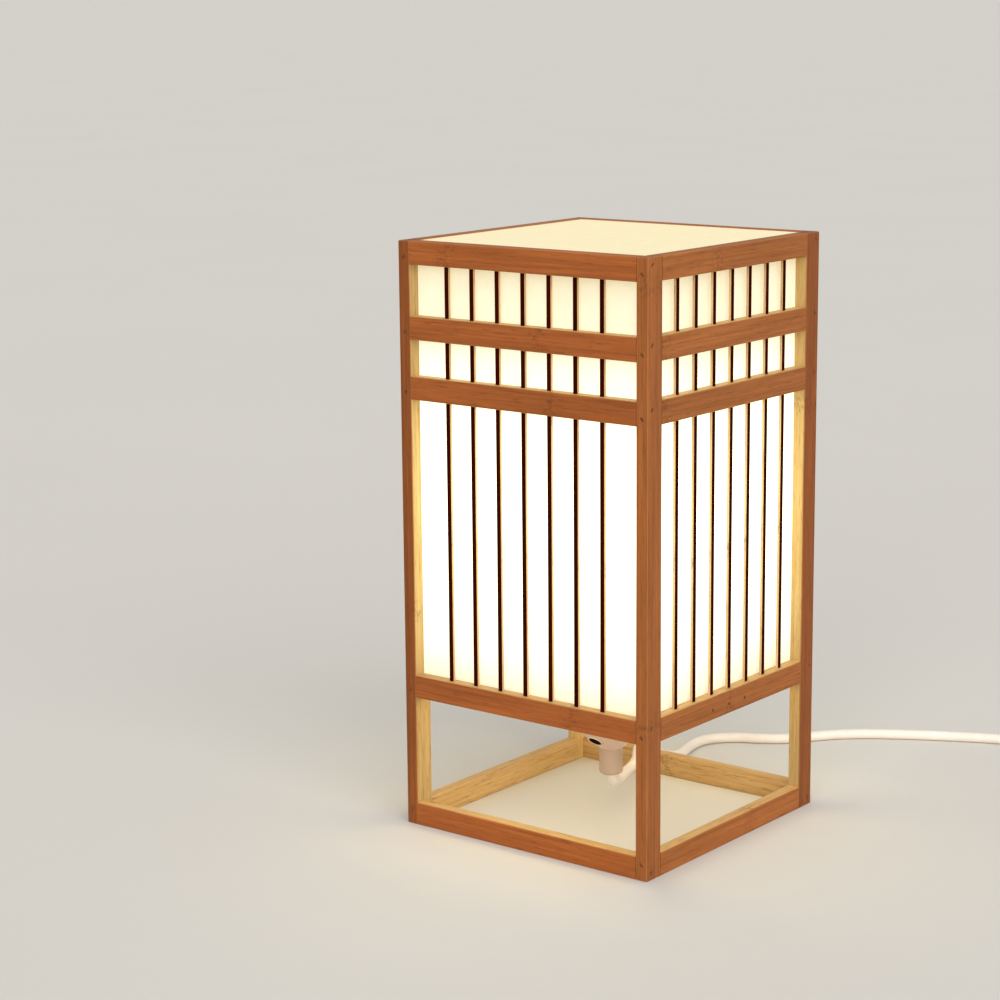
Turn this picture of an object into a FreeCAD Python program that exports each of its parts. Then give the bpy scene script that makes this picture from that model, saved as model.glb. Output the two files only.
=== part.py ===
import FreeCAD, Part
import math
import os

# Bamboo lantern lamp: a nailed frame of one bamboo strip stock, a lattice of thin slats, a translucent
# shade box behind it, a lamp holder with its bulb on a cross board, and a cord with a switch and a plug.
# Millimetres. The origin is the middle of the footprint on the table, +Z is up and the front faces -Y.

Vector = FreeCAD.Vector
UP = Vector(0, 0, 1)
TINY = 1e-6  # for comparing lengths

# Frame
WIDTH = 150.0  # outside, both ways
HEIGHT = 300.0
STRIP_FACE = 11.7  # wide side of the strip that all posts and rails are cut from
STRIP_EDGE = 6.8  # narrow side of that strip
STRIP_EASE = 0.6  # rounding of the strip's edges
BASE_WINDOW = 55.9  # clear height between the foot rails and the skirt rails
FRIEZE_WINDOW = 18.3  # between the waist rails and the neck rails
TOP_WINDOW = 25.5  # between the neck rails and the top rails

# Nails, all of one kind, with a small oblong head
NAIL_LONG = 20.0
NAIL_WIRE = 1.2
NAIL_HEAD_LONG = 2.1
NAIL_HEAD_WIDE = 1.2
NAIL_HEAD_DEEP = 0.6
NAIL_HEAD_TILT = 40.0  # degrees from the strip's length
NAIL_SINK = 0.1  # head below the wood's face
NAIL_STAGGER = 2.2  # the two nails of a corner miss each other by twice this
NAIL_CLEAR = 0.05

# Slats
SLAT_COUNT = 7  # on each face
SLAT_PITCH = 15.6
SLAT_WIDE = 2.4
SLAT_THICK = 1.5
SLAT_SETBACK = 2.8  # slat's front behind the frame's face
SLAT_SEAT = 4.0  # depth of the blind mortises in the skirt and top rails
SLAT_CLEAR = 0.05
SLAT_END_GAP = 0.3  # left over a slat's upper end

# Shade
SHADE_WALL = 1.0
SHADE_LAP = 2.4  # how far the side panels reach below the top of the skirt rails
SHADE_SINK = 0.4  # top panel below the top of the frame
SHADE_CLEAR = 0.1  # panel edge to post

# Cross board
BOARD_WIDE = 60.0
BOARD_THICK = 8.0
BOARD_GAP = 0.4  # board to the shade's lower edge
BOARD_NAILS = 3  # at each end
BOARD_NAIL_PITCH = 14.3
BOARD_NAIL_OFFSET = -4.2

# Lamp holder, built down and up from the underside of the cross board
BARREL_R = 19.5  # outside of the sleeve and of the cap
BARREL_WALL = 2.9
BARREL_ABOVE = 9.5  # sleeve above the board
BARREL_BELOW = 7.0  # sleeve below its shoulder
SHOULDER_R = 24.0
SHOULDER_THICK = 3.0
BOARD_HOLE_CLEAR = 0.5
RING_R = 25.0
RING_TALL = 7.0
RING_CLEAR = 0.3
RING_RIBS = 24
RING_RIB_R = 0.9
CAP_WALL = 2.0
CAP_STRAIGHT = 11.0  # upright part of the cap
CAP_CONE = 11.9  # height of its conical part
CAP_ROUND = 4.0
SPIGOT_LONG = 4.0  # sleeve inside the cap
HOLDER_CLEAR = 0.3
VENT_R = 3.35  # round opening in the cap's front flank
VENT_LIP = 0.9
VENT_LIP_TALL = 0.7
VENT_AT = 13.6  # its distance from the axis
NECK_R = 6.1
NECK_LONG = 14.1
NECK_ROUND = 1.8
NECK_MOUTH = 1.0
NECK_SPIGOT_R = 4.6
NECK_SPIGOT_LONG = 5.0
NECK_CLEAR = 0.1
WIRE_BORE_R = 2.0
CORE_LIP = 2.0
CORE_THICK = 6.5
SHELL_R = 13.4  # inside of the screw shell
SHELL_WALL = 0.5
SHELL_TALL = 20.0
SHELL_SEAT = 2.0
CONTACT_R = 4.0
CONTACT_TALL = 1.5
TERMINAL_R = 1.5
TERMINAL_HEAD_R = 2.75
TERMINAL_HEAD_TALL = 2.2
TERMINAL_LONG = 3.5
TERMINAL_AT = 8.0

# Bulb, with a smooth screw cap
BULB_CAP_R = 13.1
BULB_CAP_TALL = 20.0
BULB_CAP_EDGE = 1.0
BULB_TIP_R = 4.6
BULB_TIP_TALL = 1.2
BULB_INSULATOR_LOW_R = 6.0
BULB_INSULATOR_R = 12.0
BULB_INSULATOR_TALL = 3.0
BULB_HOUSING_TALL = 24.0
BULB_HOUSING_R = 19.5
BULB_FINS = 12
BULB_FIN_DEEP = 0.6
BULB_FIN_WIDE = 3.0
GLOBE_R = 22.5
GLOBE_WALL = 1.2
GLOBE_LAP = 0.3
LED_R = 15.0
LED_THICK = 1.6

# Cord
CORD = 5.5
CORD_CLEAR = 0.1
CORD_INSET = 6.0  # cord's end inside the neck
CORD_OVER_RAIL = 0.95  # cord above the rear foot rail, at the height of its route there
BEND_SHARE = 0.45  # of the shorter run beside a bend, taken up by the bend
ON_TABLE = CORD / 2

# Switch on the cord
SWITCH_LONG = 60.0
SWITCH_WIDE = 26.0
SWITCH_TALL = 16.0
SWITCH_WALL = 1.8
SWITCH_ROUND = 5.0
SWITCH_EASE = 1.2
SWITCH_GRIP = 6.0  # cord inside each end
SWITCH_SEAM = 0.1
ROCKER_LONG = 14.4
ROCKER_WIDE = 8.4
ROCKER_ABOVE = 3.4  # rocker's ends over its pivot
ROCKER_BELOW = 2.0
ROCKER_TILT = 8.0  # each way from level, in degrees
ROCKER_PIN_R = 1.0
ROCKER_PIN_LONG = 1.4
ROCKER_PIN_CLEAR = 0.08
ROCKER_DROP = 2.9  # pivot below the cover's top
WELL_CLEAR = 0.4
WELL_WALL = 2.2
WELL_DEEP = 5.6
SCREW_R = 1.3
SCREW_HEAD_R = 2.4
SCREW_HEAD_TALL = 1.6
SCREW_POST_R = 3.2
SCREW_AT = 20.0
SCREW_SINK = 0.6
SCREW_SHORT = 3.0  # screw's end below the cover's top
SCREW_CLEAR = 0.05

# Plug
PLUG_LONG = 34.0
PLUG_WIDE = 25.0
PLUG_TALL = 16.0
PLUG_ROUND = 5.0
PLUG_EASE = 1.5
RELIEF_LONG = 15.0
RELIEF_R = 3.6
RELIEF_FOOT_R = 5.2
PIN_LONG = 17.0
PIN_WIDE = 6.3
PIN_THICK = 1.5
PIN_APART = 12.7
PIN_ROOT = 8.0
PIN_CLEAR = 0.02

# Coil of the cord that is put away, and the strap around it
COIL_TURNS = 7.0  # half of them in each of the two layers
COIL_MEAN_R = 30.0
COIL_STEP = 6.2  # from turn to turn in a layer
COIL_RISE = 6.0  # from layer to layer
TIE_THICK = 0.5
TIE_WIDE = 8.0
TIE_CLEAR = 0.5
TIE_UNDER = 0.2

# Heights of the five rails, by the lower edge of each
RAIL_Z = {"foot": 0.0}
RAIL_Z["skirt"] = STRIP_FACE + BASE_WINDOW
RAIL_Z["top"] = HEIGHT - STRIP_FACE
RAIL_Z["neck"] = RAIL_Z["top"] - TOP_WINDOW - STRIP_FACE
RAIL_Z["waist"] = RAIL_Z["neck"] - FRIEZE_WINDOW - STRIP_FACE

# Turn of each face about Z from the front, and the posts at its two ends
SIDES = {
    "front": (0, "front_left", "front_right"),
    "right": (90, "front_right", "rear_right"),
    "rear": (180, "rear_right", "rear_left"),
    "left": (270, "rear_left", "front_left"),
}
INNER = WIDTH / 2 - STRIP_EDGE  # inner face of every rail, from the axis
SKIRT_TOP = RAIL_Z["skirt"] + STRIP_FACE
SHADE_LOW = SKIRT_TOP - SHADE_LAP
SHADE_HIGH = HEIGHT - SHADE_SINK - SHADE_WALL
BOARD_TOP = SHADE_LOW - BOARD_GAP
BOARD_LOW = BOARD_TOP - BOARD_THICK
SLEEVE_LOW = BOARD_LOW - SHOULDER_THICK - BARREL_BELOW
SLEEVE_TOP = BOARD_TOP + BARREL_ABOVE
CAP_LOW = SLEEVE_LOW - CAP_STRAIGHT - CAP_CONE
NECK_LOW = CAP_LOW - NECK_LONG
BARREL_BORE = BARREL_R - BARREL_WALL
CORE_LOW = SLEEVE_LOW - SPIGOT_LONG + CORE_LIP
SHELL_LOW = CORE_LOW + CORE_THICK - SHELL_SEAT
BULB_LOW = SHELL_LOW + CONTACT_TALL
SWITCH_AXIS_Z = SWITCH_TALL / 2
PLUG_AXIS_Z = PLUG_TALL / 2
COIL_LOW_Z = TIE_THICK + TIE_UNDER + CORD / 2
COIL_TOP_Z = COIL_LOW_Z + COIL_RISE
COIL_OUTER_R = COIL_MEAN_R + COIL_STEP * COIL_TURNS / 4

# Route of the cord from the holder's neck over the rear foot rail to the switch
CORD_TOP = NECK_LOW + CORD_INSET
BACK = WIDTH / 2
OVER_RAIL_Z = STRIP_FACE + CORD / 2 + CORD_OVER_RAIL
SWITCH_CLIMB_Z = (ON_TABLE + SWITCH_AXIS_Z) / 2
LEAD = [
    (0.0, 0.0, CORD_TOP),
    (0.0, 0.0, CORD_TOP - 7.4),
    (-1.6, 4.9, CORD_TOP - 12.9),
    (-5.8, 17.0, 14.3),
    (-12.8, 38.4, 14.2),
    (-21.9, BACK - 12.5, OVER_RAIL_Z),
    (-26.6, BACK + 1.0, OVER_RAIL_Z + 1.3),
    (-27.2, BACK + 9.6, ON_TABLE + 2.85),
    (-24.8, BACK + 21.8, ON_TABLE),
    (-27.0, BACK + 34.7, ON_TABLE),
    (-27.0, BACK + 53.4, ON_TABLE),
    (-16.2, BACK + 68.2, ON_TABLE),
    (-3.0, BACK + 74.2, ON_TABLE),
    (9.6, BACK + 83.0, ON_TABLE),
    (26.0, BACK + 106.6, ON_TABLE),
    (46.4, BACK + 122.8, ON_TABLE),
    (76.0, BACK + 139.6, ON_TABLE),
    (104.7, BACK + 153.7, ON_TABLE),
    (118.4, BACK + 156.4, ON_TABLE),
    (132.4, BACK + 154.9, SWITCH_CLIMB_Z),
    (145.2, BACK + 149.4, SWITCH_AXIS_Z),
    (155.2, BACK + 141.1, SWITCH_AXIS_Z),
]
# Steps of the route after the switch (length, heading in degrees, height at its end), and after the coil
COIL_HEADING = -40.0  # of the coil's two straight ends, in degrees
RUN_STEPS = [(16.0, -40.0, SWITCH_AXIS_Z), (18.0, -46.0, COIL_LOW_Z), (16.0, COIL_HEADING, COIL_LOW_Z)]
TAIL_STEPS = [(12.0, COIL_HEADING, COIL_TOP_Z), (14.0, -54.0, PLUG_AXIS_Z), (12.0, -68.0, PLUG_AXIS_Z)]


def block(low, high):
    """Box between two corners."""
    size = [b - a for a, b in zip(low, high)]
    return Part.makeBox(*size, Vector(*low))


def rod(radius, start, along, length):
    """Cylinder from a point along a direction."""
    return Part.makeCylinder(radius, length, Vector(*start), Vector(*along))


def edges_along(shape, along):
    """Straight edges that run along a direction."""
    straight = [e for e in shape.Edges if isinstance(e.Curve, Part.Line)]
    return [e for e in straight if e.tangentAt(e.FirstParameter).cross(along).Length < TINY]


def turned(profile):
    """Body of revolution about Z from a closed outline of (radius, height) points."""
    points = [Vector(r, 0, z) for r, z in profile + profile[:1]]
    face = Part.Face(Part.makePolygon(points))
    return face.revolve(Vector(), UP, 360)


def rounded(shape, radius, at_radius, at_z):
    """Round the circular edge of a turned body at one radius and height."""
    def is_it(edge):
        circle = isinstance(edge.Curve, Part.Circle)
        return circle and math.hypot(edge.Curve.Radius - at_radius, edge.Curve.Center.z - at_z) < TINY
    return shape.makeFillet(radius, [e for e in shape.Edges if is_it(e)])


def on_side(shape, side):
    """Shape made for the front face, turned to a face of the frame."""
    shape = shape.copy()
    shape.rotate(Vector(), UP, SIDES[side][0])
    return shape


def save(name, *solids):
    """Write one node."""
    shape = solids[0] if len(solids) == 1 else Part.makeCompound(list(solids))
    if not shape.isValid():
        raise ValueError(name + " is not a valid shape")
    shape.exportStep("parts/" + name + ".step")


# Nails
def nail(start, along, up, clear=0.0):
    """One nail from its head's outer face inwards; with clear, the hole that it sits in."""
    along = Vector(*along)
    shank = rod(NAIL_WIRE / 2 + clear, start, along, NAIL_LONG + clear)
    long = NAIL_HEAD_LONG / 2 + clear
    wide = NAIL_HEAD_WIDE / 2 + clear
    out = NAIL_SINK + clear if clear else 0.0
    head = block((-long, -wide, -out), (long, wide, NAIL_HEAD_DEEP + clear))
    head.rotate(Vector(), UP, NAIL_HEAD_TILT * up)
    head.Placement = FreeCAD.Placement(Vector(*start), FreeCAD.Rotation(UP, along)).multiply(head.Placement)
    return head.fuse(shank).removeSplitter()


def rail_half(side):
    """Half the length of a face's rails, between its two posts."""
    return WIDTH / 2 - (STRIP_EDGE if side in ("front", "rear") else STRIP_FACE)


def corner_nail(side, level, end, clear=0.0):
    """The nail through a post into the end of one rail."""
    low = (side in ("front", "rear")) == (level == "foot")
    z = RAIL_Z[level] + STRIP_FACE / 2 + (-NAIL_STAGGER if low else NAIL_STAGGER)
    start = (end * (WIDTH / 2 - NAIL_SINK), STRIP_EDGE / 2 - WIDTH / 2, z)
    return on_side(nail(start, (-end, 0, 0), end, clear), side)


def board_nails(side, clear=0.0):
    """The nails through the middle of a skirt rail into the cross board."""
    middle = (BOARD_NAILS - 1) / 2
    z = (BOARD_LOW + BOARD_TOP) / 2
    made = []
    for i in range(BOARD_NAILS):
        u = BOARD_NAIL_OFFSET + (i - middle) * BOARD_NAIL_PITCH
        made.append(on_side(nail((u, NAIL_SINK - WIDTH / 2, z), (0, 1, 0), 1, clear), side))
    return made


# Frame
def make_posts():
    """Four posts, with the holes of their nails."""
    for x, y in ((-1, -1), (1, -1), (1, 1), (-1, 1)):
        name = ("front_" if y < 0 else "rear_") + ("left" if x < 0 else "right")
        low_x, high_x = sorted((x * WIDTH / 2, x * INNER))
        low_y, high_y = sorted((y * WIDTH / 2, y * (WIDTH / 2 - STRIP_FACE)))
        post = block((low_x, low_y, 0), (high_x, high_y, HEIGHT))
        post = post.makeFillet(STRIP_EASE, post.Edges)
        ends = [(s, e) for s in SIDES for e in (-1, 1) if SIDES[s][1 if e < 0 else 2] == name]
        holes = [corner_nail(s, level, e, NAIL_CLEAR) for s, e in ends for level in RAIL_Z]
        save("post_" + name, post.cut(holes))


def slat_at(i, clear=0.0, low=None, high=None):
    """Slat number i of the front face; with clear, the mortise around it."""
    x = (i - (SLAT_COUNT - 1) / 2) * SLAT_PITCH
    y = SLAT_SETBACK - WIDTH / 2
    low = SKIRT_TOP - SLAT_SEAT if low is None else low
    high = RAIL_Z["top"] + SLAT_SEAT - SLAT_END_GAP if high is None else high
    half = SLAT_WIDE / 2 + clear
    return block((x - half, y - clear, low), (x + half, y + SLAT_THICK + clear, high))


def make_rails():
    """Five rails on each face, mortised for the slats and drilled for the nails."""
    for side in SIDES:
        half = rail_half(side)
        for level, z in RAIL_Z.items():
            rail = block((-half, -WIDTH / 2, z), (half, -INNER, z + STRIP_FACE))
            rail = rail.makeFillet(STRIP_EASE, edges_along(rail, Vector(1, 0, 0)))
            if level != "foot":
                low = SKIRT_TOP - SLAT_SEAT
                high = RAIL_Z["top"] + SLAT_SEAT
                rail = rail.cut([slat_at(i, SLAT_CLEAR, low, high) for i in range(SLAT_COUNT)])
            holes = [corner_nail(side, level, end, NAIL_CLEAR) for end in (-1, 1)]
            if level == "skirt" and side in ("left", "right"):
                holes += board_nails(side, NAIL_CLEAR)
            save(level + "_rail_" + side, on_side(rail, side).cut(holes))


def make_slats():
    """The slats of each face, standing in the skirt rail."""
    for side in SIDES:
        save("slats_" + side, *[on_side(slat_at(i), side) for i in range(SLAT_COUNT)])


def make_nails():
    """All the nails of the frame and of the cross board."""
    made = [corner_nail(s, level, e) for s in SIDES for level in RAIL_Z for e in (-1, 1)]
    for side in ("left", "right"):
        made += board_nails(side)
    save("nails", *made)


# Shade
def make_shade():
    """Four side panels against the rails, and the top panel on their edges."""
    half = INNER - SHADE_CLEAR
    inner = INNER - SHADE_WALL
    for side in ("front", "rear"):
        panel = block((-half, -INNER, SHADE_LOW), (half, -inner, SHADE_HIGH))
        save("shade_" + side, on_side(panel, side))
    for side in ("left", "right"):
        panel = block((-inner, -INNER, SHADE_LOW), (inner, -inner, SHADE_HIGH))
        save("shade_" + side, on_side(panel, side))
    save("shade_top", block((-half, -half, SHADE_HIGH), (half, half, SHADE_HIGH + SHADE_WALL)))


# Cross board and lamp holder
def make_board():
    """Board between the left and right skirt rails, with the holder's hole."""
    board = block((-INNER, -BOARD_WIDE / 2, BOARD_LOW), (INNER, BOARD_WIDE / 2, BOARD_TOP))
    hole = rod(BARREL_R + BOARD_HOLE_CLEAR, (0, 0, BOARD_LOW), UP, BOARD_THICK)
    nail_holes = board_nails("left", NAIL_CLEAR) + board_nails("right", NAIL_CLEAR)
    save("cross_board", board.cut([hole] + nail_holes))


def make_cap():
    """Conical cap of the holder, with its vent."""
    top_r = BARREL_R
    run = top_r - NECK_R
    length = math.hypot(run, CAP_CONE)
    normal_r, normal_z = CAP_CONE / length, -run / length
    hole_r = NECK_SPIGOT_R + NECK_CLEAR
    inner_r = top_r - CAP_WALL
    slope = CAP_CONE / run
    lift = CAP_WALL * length / run

    def inner_z(r):
        return CAP_LOW + (r - NECK_R) * slope + lift

    outer = [(NECK_R, CAP_LOW), (top_r, CAP_LOW + CAP_CONE), (top_r, SLEEVE_LOW)]
    inner = [(inner_r, SLEEVE_LOW), (inner_r, inner_z(inner_r)), (hole_r, inner_z(hole_r))]
    inner.append((hole_r, CAP_LOW))
    cap = rounded(turned(outer + inner), CAP_ROUND, top_r, CAP_LOW + CAP_CONE)
    vent_z = CAP_LOW + (VENT_AT - NECK_R) * slope
    out = Vector(0, -normal_r, normal_z)
    middle = Vector(0, -VENT_AT, vent_z)
    inside = CAP_WALL / 2
    through = 2 * CAP_WALL
    lip = rod(VENT_R + VENT_LIP, middle - out * inside, out, VENT_LIP_TALL + inside)
    vent = rod(VENT_R, middle - out * through, out, VENT_LIP_TALL + through)
    save("holder_cap", cap.fuse(lip).cut(vent).removeSplitter())


def make_neck():
    """Cord grip under the cap: a thick tube with a rounded end, and a spigot inside the cap."""
    low = NECK_LOW
    bore = CORD / 2 + CORD_CLEAR
    outline = [
        (bore, low), (NECK_R, low), (NECK_R, CAP_LOW), (NECK_SPIGOT_R, CAP_LOW),
        (NECK_SPIGOT_R, CAP_LOW + NECK_SPIGOT_LONG), (WIRE_BORE_R, CAP_LOW + NECK_SPIGOT_LONG),
        (WIRE_BORE_R, CORD_TOP), (bore, CORD_TOP),
    ]
    neck = rounded(turned(outline), NECK_ROUND, NECK_R, low)
    save("cord_grip", rounded(neck, NECK_MOUTH, bore, low))


def make_sleeve():
    """Outer sleeve: shoulder under the board, barrel through it, spigot and lip in the cap."""
    spigot_r = BARREL_R - CAP_WALL - HOLDER_CLEAR
    low = SLEEVE_LOW - SPIGOT_LONG
    lip_r = BARREL_BORE - CORE_LIP
    sleeve = turned([
        (lip_r, low), (spigot_r, low), (spigot_r, SLEEVE_LOW), (BARREL_R, SLEEVE_LOW),
        (BARREL_R, BOARD_LOW - SHOULDER_THICK), (SHOULDER_R, BOARD_LOW - SHOULDER_THICK),
        (SHOULDER_R, BOARD_LOW), (BARREL_R, BOARD_LOW), (BARREL_R, SLEEVE_TOP),
        (BARREL_BORE, SLEEVE_TOP), (BARREL_BORE, CORE_LOW), (lip_r, CORE_LOW),
    ])
    save("holder_sleeve", sleeve)


def make_ring():
    """Clamp ring on the barrel, on top of the board, with grip ribs."""
    bore = BARREL_R + RING_CLEAR
    high = BOARD_TOP + RING_TALL
    ring = turned([(bore, BOARD_TOP), (RING_R, BOARD_TOP), (RING_R, high), (bore, high)])
    ribs = []
    for i in range(RING_RIBS):
        turn = 2 * math.pi * i / RING_RIBS
        foot = (RING_R * math.cos(turn), RING_R * math.sin(turn), BOARD_TOP)
        ribs.append(rod(RING_RIB_R, foot, UP, RING_TALL))
    save("holder_ring", ring.fuse(ribs).removeSplitter())


def make_socket():
    """Insulating core on the sleeve's lip, screw shell, centre contact and terminal screws."""
    core_r = BARREL_BORE - HOLDER_CLEAR
    top = CORE_LOW + CORE_THICK
    seat_r = SHELL_R + SHELL_WALL + HOLDER_CLEAR
    core = turned([
        (0, CORE_LOW), (core_r, CORE_LOW), (core_r, top),
        (seat_r, top), (seat_r, SHELL_LOW), (0, SHELL_LOW),
    ])
    screws = []
    for x in (-TERMINAL_AT, TERMINAL_AT):
        hole = rod(TERMINAL_R + SCREW_CLEAR, (x, 0, CORE_LOW), UP, TERMINAL_LONG + SCREW_CLEAR)
        core = core.cut(hole)
        head = rod(TERMINAL_HEAD_R, (x, 0, CORE_LOW - TERMINAL_HEAD_TALL), UP, TERMINAL_HEAD_TALL)
        shank = rod(TERMINAL_R, (x, 0, CORE_LOW), UP, TERMINAL_LONG)
        screws.append(head.fuse(shank).removeSplitter())
    save("socket_core", core)
    save("terminal_screws", *screws)
    outer = SHELL_R + SHELL_WALL
    high = SHELL_LOW + SHELL_TALL
    save("screw_shell", turned([(SHELL_R, SHELL_LOW), (outer, SHELL_LOW), (outer, high), (SHELL_R, high)]))
    save("centre_contact", rod(CONTACT_R, (0, 0, SHELL_LOW), UP, CONTACT_TALL))


# Bulb
def make_bulb():
    """Bulb on the centre contact: tip, insulator, screw cap, housing, light board and globe."""
    z = BULB_LOW
    save("bulb_tip", rod(BULB_TIP_R, (0, 0, z), UP, BULB_TIP_TALL))
    z += BULB_TIP_TALL
    top = z + BULB_INSULATOR_TALL
    save("bulb_insulator", turned([(0, z), (BULB_INSULATOR_LOW_R, z), (BULB_INSULATOR_R, top), (0, top)]))
    z = top
    cap = rod(BULB_CAP_R, (0, 0, z), UP, BULB_CAP_TALL)
    save("bulb_screw_cap", rounded(cap, BULB_CAP_EDGE, BULB_CAP_R, z))
    z += BULB_CAP_TALL
    top = z + BULB_HOUSING_TALL
    housing = turned([(0, z), (BULB_CAP_R, z), (BULB_HOUSING_R, top), (0, top)])
    lean = math.atan2(BULB_HOUSING_R - BULB_CAP_R, BULB_HOUSING_TALL)
    half = BULB_FIN_WIDE / 2
    below_rim = block((-WIDTH, -WIDTH, z), (WIDTH, WIDTH, top - BULB_FIN_WIDE))
    for i in range(BULB_FINS):
        groove = block((-BULB_FIN_DEEP, -half, 0), (BULB_FIN_DEEP, half, 2 * BULB_HOUSING_TALL))
        groove.translate(Vector(0, 0, BULB_FIN_WIDE))
        groove.rotate(Vector(), Vector(0, 1, 0), math.degrees(lean))
        groove.translate(Vector(BULB_CAP_R, 0, z))
        groove.rotate(Vector(), UP, 360 * i / BULB_FINS)
        housing = housing.cut(groove.common(below_rim))
    save("bulb_housing", housing)
    save("bulb_light_board", rod(LED_R, (0, 0, top), UP, LED_THICK))
    make_globe(top)


def make_globe(low):
    """Globe shell: a sphere cut where it meets the housing."""
    foot_r = BULB_HOUSING_R - GLOBE_LAP
    middle = low + math.sqrt(GLOBE_R ** 2 - foot_r ** 2)
    outer = Part.makeSphere(GLOBE_R, Vector(0, 0, middle))
    inner = Part.makeSphere(GLOBE_R - GLOBE_WALL, Vector(0, 0, middle))
    room = block((-GLOBE_R, -GLOBE_R, low), (GLOBE_R, GLOBE_R, middle + GLOBE_R))
    save("bulb_globe", outer.cut(inner).common(room))


# Cord
def ring_face(point, along):
    """Outline of the cord, square to its run."""
    return Part.Wire(Part.makeCircle(CORD / 2, point, along))


def tube(name, points):
    """Cord along straight runs joined by tangent arcs as large as the runs allow."""
    points = [Vector(*p) for p in points]
    edges = []
    radii = []
    start = points[0]
    for before, at, after in zip(points, points[1:], points[2:]):
        come = (at - before).normalize()
        go = (after - at).normalize()
        half_turn = come.getAngle(go) / 2
        cut = BEND_SHARE * min((at - before).Length, (after - at).Length)
        radius = cut / math.tan(half_turn)
        arc_in = at - come * cut
        arc_out = at + go * cut
        inward = (go - come).normalize()
        middle = at + inward * (radius / math.cos(half_turn) - radius)
        edges.append(Part.LineSegment(start, arc_in).toShape())
        edges.append(Part.Arc(arc_in, middle, arc_out).toShape())
        radii.append(radius)
        start = arc_out
    edges.append(Part.LineSegment(start, points[-1]).toShape())
    path = Part.Wire(edges)
    solid = path.makePipeShell([ring_face(points[0], points[1] - points[0])], True, False)
    expected = math.pi * CORD ** 2 / 4 * path.Length
    print(name, "radii", [round(r, 1) for r in radii])
    print(name, "length", round(path.Length, 1), "volume share", round(solid.Volume / expected, 5))
    print(name, "lowest", round(min(p.z for p in path.discretize(Distance=CORD)) - CORD / 2, 3))
    save(name, solid)


def stepped(start, steps):
    """Points of a route given by its start and steps of length, heading and end height."""
    points = [Vector(*start)]
    for length, heading, z in steps:
        last = points[-1]
        turn = math.radians(heading)
        points.append(Vector(last.x + length * math.cos(turn), last.y + length * math.sin(turn), z))
    return points


def flat_heading(points):
    """Heading of a route's last run, as a level unit vector."""
    run = Vector(*points[-1]) - Vector(*points[-2])
    return Vector(run.x, run.y, 0).normalize()


def coil_point(middle, first_turn, share):
    """A point of the coil, from 0 at its start to 1 at its end: in along one layer, out along the other."""
    turn = share * COIL_TURNS
    half = COIL_TURNS / 2
    quarter = 0.25
    away = abs(turn - half)
    if away < quarter:
        away = (away ** 2 + quarter ** 2) / (2 * quarter)
        climb = (turn - half + quarter) / (2 * quarter)
        z = COIL_LOW_Z + COIL_RISE * climb ** 2 * (3 - 2 * climb)
    else:
        z = COIL_LOW_Z if turn < half else COIL_TOP_Z
    radius = COIL_OUTER_R - COIL_STEP * (half - away)
    angle = first_turn + 2 * math.pi * turn
    return Vector(middle.x + radius * math.cos(angle), middle.y + radius * math.sin(angle), z)


def biarc(start, start_way, end, end_way):
    """Two tangent arcs between two points with given directions, and the point where they meet."""
    chord = end - start
    both = start_way + end_way
    unlike = 2 * (1 - start_way.dot(end_way))
    reach = (math.sqrt(chord.dot(both) ** 2 + unlike * chord.dot(chord)) - chord.dot(both)) / unlike
    corner_1 = start + start_way * reach
    corner_2 = end - end_way * reach
    meet = (corner_1 + corner_2) * 0.5
    arcs = []
    for a, corner, b in ((start, corner_1, meet), (meet, corner_2, end)):
        base = (a + b) * 0.5
        half = (b - a).Length / 2
        tall = (corner - base).Length
        bulge = half / tall * (math.hypot(half, tall) - half)
        arcs.append(Part.Arc(a, base + (corner - base) * (bulge / tall), b).toShape())
    return arcs


def make_coil(start, heading):
    """Coil of the put-away cord, turning left from the run that it continues; returns its end."""
    start = Vector(*start)
    left = Vector(-heading.y, heading.x, 0)
    begin = start + heading * CORD
    middle = begin + left * COIL_OUTER_R
    first_turn = math.atan2(-left.y, -left.x)
    nodes = int(COIL_TURNS * 4)
    nudge = 1e-4

    def at(share):
        return coil_point(middle, first_turn, share)

    def way(i):
        if i in (0, nodes):
            return heading
        return (at(i / nodes + nudge) - at(i / nodes - nudge)).normalize()

    edges = [Part.LineSegment(start, begin).toShape()]
    for i in range(nodes):
        edges += biarc(at(i / nodes), way(i), at((i + 1) / nodes), way(i + 1))
    last = at(1.0)
    end = last + heading * CORD
    edges.append(Part.LineSegment(last, end).toShape())
    path = Part.Wire(edges)
    solid = path.makePipeShell([ring_face(start, heading)], True, False)
    expected = math.pi * CORD ** 2 / 4 * path.Length
    print("coil length", round(path.Length, 1), "volume share", round(solid.Volume / expected, 5))
    print("coil least gap to itself", round(least_gap(path), 3))
    save("cord_coil", solid)
    make_tie(middle, at)
    return end


def least_gap(path):
    """Least clear distance between stretches of a wound cord, measured on points along it."""
    points = path.discretize(Distance=CORD / 3)
    step = path.Length / (len(points) - 1)
    same_turn = 6 * CORD
    skip = int(same_turn / step)
    least = path.Length
    for i, point in enumerate(points):
        for other in points[i + skip:]:
            least = min(least, point.distanceToPoint(other))
    return least - CORD


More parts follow.
